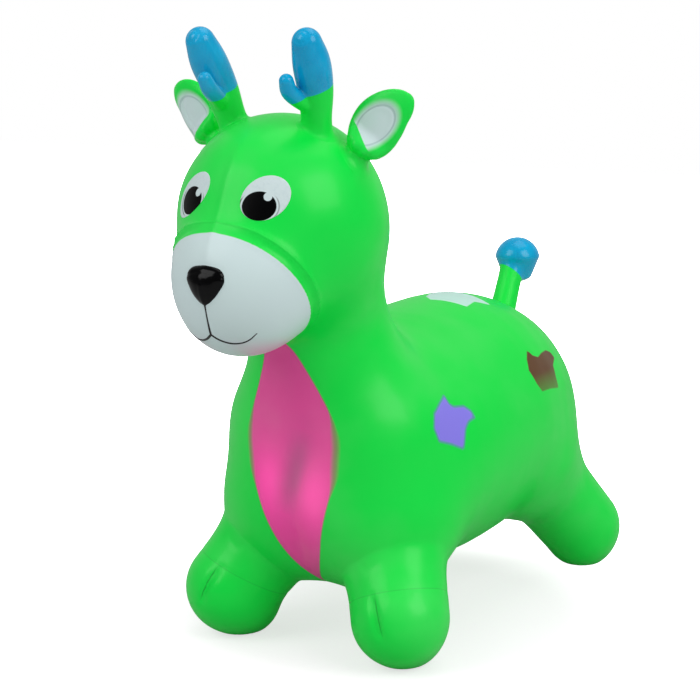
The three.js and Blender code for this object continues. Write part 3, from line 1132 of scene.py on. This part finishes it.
# nose: a glossy button with a brow ridge and a keel
noseForm = {
    "corner": (9, 0, 359.8, 8.2),
    "tip": (0, 0, 348, 9),
    "crown": (0, 0, 360.5, 9.4),
    "heart": (0, 0, 355, 14.2),
    "corners": 8,
    "sheet": -287.5,  # the plane of the muzzle's front, in y
    "flatness": 0.72,
    "front": (-293, -284),
    "browAt": 366,
    "browArch": 0.015,
    "browDepth": 0.3,
    "browWidth": 1.4,
    "keel": 0.5,
    "keelWidth": 1.7,
    "keelTop": (355, 362),
    "low": (-26, -306, 325),
    "high": (26, -262, 384),
    "pitch": 0.9,
}


def noseField(p):
    n = noseForm
    x, y, z = p.T
    q = leftHalf(p)
    q[:, 1] = (y - n["sheet"]) / n["flatness"]
    side = swept(q, [n["corner"], n["tip"]])
    brow = swept(q, [n["corner"], n["crown"]])
    body = fuse(fuse(side, brow, n["corners"]), swept(q, [n["heart"], n["tip"]]), n["corners"])
    detail = n["keel"] * bell(x, n["keelWidth"]) * (1 - smoothStep(z, *n["keelTop"]))
    detail = detail - n["browDepth"] * bell(z - n["browAt"] + n["browArch"] * x**2, n["browWidth"])
    return body * n["flatness"] - detail * (1 - smoothStep(y, *n["front"]))


# a printed or moulded finish, its colour and gloss worn by one noise
def wornFinish(s, look, over=None):
    worn = s.noise(*look["worn"])
    colour = s.mix(worn.ramp(*look["wornSpan"]) * look["wornShare"], look["colour"], look["wornColour"])
    if over is not None:
        colour = s.mix(over, colour, inkBlack)
    sockets = {"Base Color": colour, "Roughness": look["roughness"] + look["wornRoughness"] * worn}
    if "bump" in look:
        sockets["Normal"] = s.bump(s.noise(*look["grain"]) if "grain" in look else worn, *look["bump"])
    return s.surface({**sockets, **look.get("fixed", {})})


noseLook = {
    "worn": (160, 3),
    "wornSpan": (0.5, 0.8),
    "wornShare": 0.4,
    "colour": inkBlack,
    "wornColour": paint(14, 14, 16),
    "roughness": 0.1,
    "wornRoughness": 0.1,
    "grain": (240, 2),
    "bump": (0.0004, 0.12),  # distance and strength
    "fixed": {"Specular IOR Level": 0.16},
}
nose = makeLimb("nose_button", noseField, noseForm, wornFinish(Finish("noseCoat"), noseLook), {})
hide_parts("nose")
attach(nose, "head")
print("nose made")

layRounds = 14


# printed films are laid on the skin along one direction
def ontoSkin(p, aim):
    for _ in range(layRounds):
        p = p - aim * skinField(p)[:, None]
    return p


def skinNormal(p):
    normal = slope(skinField, p)
    return normal / np.linalg.norm(normal, axis=1)[:, None]


eyeForm = {
    "rings": 26,
    "spokes": 96,
    "lift": 2,
    "proud": 0.22,
    "sunk": 0.5,
    "left": {"at": (34.8, -254, 423.4), "long": 21.8, "short": 17.3, "tilt": 0.58, "pupil": (-4.7, -6.8)},
    "right": {"at": (-37, -254, 422.5), "long": 23, "short": 16.2, "tilt": 0.86, "pupil": (1.6, -5)},
    "pupilWide": 14.2,
    "pupilTall": 12.1,
    "glintAt": (7, 7.7),
    "glint": 3.5,
    "inkEdge": 0.2,
    "arc": 13.9,  # thin line round the lower pupil
    "arcHalf": 0.4,
    "arcEdge": (-0.15, 0.25),
    "arcTop": (4, 10),
    "arcSides": [((-8, -4), 0.85), ((9, 12), 0.45)],
}
eyeLook = {
    "worn": (420, 3),
    "wornSpan": (0.4, 0.8),
    "wornShare": 0.5,
    "colour": paint(212, 228, 229),
    "wornColour": paint(196, 216, 219),
    "roughness": 0.3,
    "wornRoughness": 0.14,
    "bump": (0.0003, 0.25),
    "fixed": {"Specular IOR Level": 0.07},
}


def eyeFinish(side):
    e = eyeForm
    s = Finish(side + "EyePrint")
    dx, dy = s.attribute("across") - e[side]["pupil"][0], s.attribute("upward") - e[side]["pupil"][1]
    away = ((dx * (e["pupilTall"] / e["pupilWide"])) ** 2 + dy ** 2).root()
    glint = ((dx - e["glintAt"][0]) ** 2 + (dy - e["glintAt"][1]) ** 2).root()
    soft = e["inkEdge"]
    ink = (1 - (away - e["pupilTall"]).inside(soft)) * (glint - e["glint"]).inside(soft)
    arc = 1 - ((away - e["arc"]).size() - e["arcHalf"]).ramp(*e["arcEdge"])
    (inner, innerShare), (outer, outerShare) = e["arcSides"]
    sides = ((1 - dx.ramp(*inner)) * innerShare).most(dx.ramp(*outer) * outerShare)
    return wornFinish(s, eyeLook, ink.most(arc * (1 - dy.ramp(*e["arcTop"])) * sides))


# a polar sheet with a front and a back
def makeEye(side):
    e = eyeForm[side]
    at = np.array([e["at"]], float)
    at = ontoSkin(at, skinNormal(at))
    aim = skinNormal(at)[0]
    across = unit(np.cross((0, 0, 1), aim))
    upward = np.cross(aim, across)
    rings, spokes = eyeForm["rings"], eyeForm["spokes"]
    angle = np.arange(spokes) * 2 * np.pi / spokes
    edge = 1 / np.hypot(np.cos(angle - e["tilt"]) / e["long"], np.sin(angle - e["tilt"]) / e["short"])
    rim = np.stack([np.cos(angle), np.sin(angle)], 1) * edge[:, None]
    flat = np.vstack([np.zeros((1, 2))] + [rim * ring / rings for ring in range(1, rings + 1)])
    laid = ontoSkin(at + flat[:, :1] * across + flat[:, 1:] * upward + aim * eyeForm["lift"], aim)
    normal = skinNormal(laid)
    front, back = laid + normal * eyeForm["proud"], laid - normal * eyeForm["sunk"]
    count = len(flat)
    last = 1 + (rings - 1) * spokes
    faces = []
    for j in range(spokes):
        k = (j + 1) % spokes
        faces.append((0, 1 + j, 1 + k))
        faces.append((count, count + 1 + k, count + 1 + j))
        for a in range(1, last, spokes):
            b = a + spokes
            faces.append((a + j, b + j, b + k, a + k))
            faces.append((count + a + k, count + b + k, count + b + j, count + a + j))
        faces.append((last + j, count + last + j, count + last + k, last + k))
    marks = {"across": np.tile(flat[:, 0], 2), "upward": np.tile(flat[:, 1], 2)}
    piece = makePiece(side + "_eye_print", np.vstack([front, back]), faces, eyeFinish(side), marks)
    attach(piece, "head")


makeEye("left")
makeEye("right")
print("eyes laid")

# mouth: ink lines swept along the skin, each path in x and z
mouthForm = {
    "lines": {
        "mouth_lip_line": {"path": [(0, 343), (0, 330), (-0.5, 313)], "half": 1.3, "endHalf": 1.3},
        "mouth_left_line": {
            "path": [(-0.5, 313), (6, 308.5), (14, 306), (22, 306.5), (29, 309.6), (36, 315.5)],
            "half": 1.25,
            "endHalf": 0.75,
        },
        "mouth_right_line": {
            "path": [(-0.5, 313), (-7, 308.5), (-15, 306), (-23, 306.5), (-30, 309.6), (-37, 315.5)],
            "half": 1.25,
            "endHalf": 0.75,
        },
    },
    "taper": 2.5,
    "start": -300.0,  # the plane in y from which the lines are laid
    "sink": 0.6,
    "sides": 8,
    "steps": 8,
}
inkLook = {
    "worn": (300, 3),
    "wornSpan": (0.4, 0.8),
    "wornShare": 0.4,
    "colour": paint(16, 15, 17),
    "wornColour": paint(52, 50, 54),
    "roughness": 0.34,
    "wornRoughness": 0.2,
}


def sweepTree():
    tree = bpy.data.node_groups.new("inkSweep", "GeometryNodeTree")
    face = tree.interface
    face.new_socket("Geometry", in_out="INPUT", socket_type="NodeSocketGeometry")
    sides = face.new_socket("Sides", in_out="INPUT", socket_type="NodeSocketInt")
    coat = face.new_socket("Coat", in_out="INPUT", socket_type="NodeSocketMaterial")
    face.new_socket("Geometry", in_out="OUTPUT", socket_type="NodeSocketGeometry")

    def node(kind, settings={}, sockets={}):
        made = tree.nodes.new(kind)
        for key, value in settings.items():
            setattr(made, key, value)
        for key, value in sockets.items():
            if isinstance(value, bpy.types.NodeSocket):
                tree.links.new(value, made.inputs[key])
            else:
                made.inputs[key].default_value = value
        return made

    start = node("NodeGroupInput")
    thick = node("GeometryNodeInputNamedAttribute", {"data_type": "FLOAT"}, {"Name": "halfWidth"})
    line = node("GeometryNodeMeshToCurve", {}, {"Mesh": start.outputs["Geometry"]})
    ring = node("GeometryNodeCurvePrimitiveCircle", {}, {"Resolution": start.outputs["Sides"], "Radius": 1.0})
    tube = node("GeometryNodeCurveToMesh", {}, {
        "Curve": line.outputs[0],
        "Profile Curve": ring.outputs[0],
        "Scale": thick.outputs["Attribute"],
        "Fill Caps": True,
    })
    smooth = node("GeometryNodeSetShadeSmooth", {}, {"Geometry": tube.outputs[0]})
    real = node("GeometryNodeRealizeInstances", {}, {"Geometry": smooth.outputs[0]})
    done = node("GeometryNodeSetMaterial", {}, {"Geometry": real.outputs[0], "Material": start.outputs["Coat"]})
    node("NodeGroupOutput", {}, {"Geometry": done.outputs[0]})
    return tree, sides.identifier, coat.identifier


def makeMouth(form):
    tree, sidesKey, coatKey = sweepTree()
    material = wornFinish(Finish("mouthInk"), inkLook)
    for name, ink in form["lines"].items():
        path = smoothChain(ink["path"], form["steps"])
        start = np.stack([path[:, 0], np.full(len(path), form["start"]), path[:, 1]], 1)
        laid = ontoSkin(start, np.array((0.0, -1.0, 0.0)))
        laid = laid - skinNormal(laid) * form["sink"]
        share = np.linspace(0, 1, len(laid))
        halves = ink["half"] + (ink["endHalf"] - ink["half"]) * share ** form["taper"]
        mesh = bpy.data.meshes.new(name + "_path")
        mesh.from_pydata((laid * mm).tolist(), [(i, i + 1) for i in range(len(laid) - 1)], [])
        layer = mesh.attributes.new("halfWidth", "FLOAT", "POINT")
        layer.data.foreach_set("value", (halves * mm).astype(np.float32))
        line = bpy.data.objects.new(name + "_path", mesh)
        scene.collection.objects.link(line)
        sweep = line.modifiers.new("sweep", "NODES")
        sweep.node_group = tree
        sweep[sidesKey] = form["sides"]
        sweep[coatKey] = material
        solid = bpy.data.meshes.new_from_object(line.evaluated_get(bpy.context.evaluated_depsgraph_get()))
        bpy.data.objects.remove(line)
        piece = bpy.data.objects.new(name, solid)
        scene.collection.objects.link(piece)
        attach(piece, "head")


makeMouth(mouthForm)
print("mouth drawn")


# turn a profile of (radius, height) pairs about the valve's axis
def turned(profile, loop):
    v = valveForm
    turn = np.arange(v["sides"]) * 2 * np.pi / v["sides"]
    points, rows = [], []
    for radius, up in profile:
        if radius == 0:
            rows.append([len(points)] * v["sides"])
            points.append((0, v["y"], v["mouth"] + up))
            continue
        rows.append(list(range(len(points), len(points) + v["sides"])))
        points += [(radius * math.cos(t), v["y"] + radius * math.sin(t), v["mouth"] + up) for t in turn]
    faces = []
    pairs = list(zip(rows[:-1], rows[1:])) + ([(rows[-1], rows[0])] if loop else [])
    for low, top in pairs:
        for j in range(v["sides"]):
            k = (j + 1) % v["sides"]
            corners = dict.fromkeys((low[j], low[k], top[k], top[j]))
            faces.append(tuple(corners))
    return np.array(points, float), faces


def plugProfile():
    v = valveForm
    foot, end, length, rib = v["shankFoot"], v["shankEnd"], v["shankLength"], v["ribHeight"]
    shank = []
    for step in np.linspace(*v["ribSpan"], v["ribSteps"]):
        swell = max(math.sin(step * v["ribs"] * 2 * math.pi), 0) * rib
        shank.append((foot + (end - foot) * step + swell - rib, step * length))
    return v["flange"] + shank + [(end - v["shankEase"], length), (0, length)]


plugLook = {
    "worn": (420, 3),
    "wornSpan": (0.4, 0.8),
    "wornShare": 0.35,
    "colour": paint(232, 232, 226),
    "wornColour": paint(206, 207, 200),
    "roughness": 0.36,
    "wornRoughness": 0.16,
    "bump": (0.0003, 0.3),
}


def outward(piece):
    shape = bmesh.new()
    shape.from_mesh(piece.data)
    bmesh.ops.recalc_face_normals(shape, faces=shape.faces)
    shape.to_mesh(piece.data)
    shape.free()


collar = makePiece("valve_collar", *turned(valveForm["collar"], True), pvc(Finish("collarGreen"), collarGreen))
plug = makePiece("valve_stopper", *turned(plugProfile(), False), wornFinish(Finish("plugWhite"), plugLook))
for piece, node, body, slot in (
    (collar, "valve_seat", "trunk", "green_skin"),
    (plug, "valve_plug", "valve_plug", "plug_white"),
):
    outward(piece)
    piece.data.set_sharp_from_angle(angle=math.radians(valveForm["sharpAngle"]))
    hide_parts(node)
    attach(piece, body)
print("valve made")
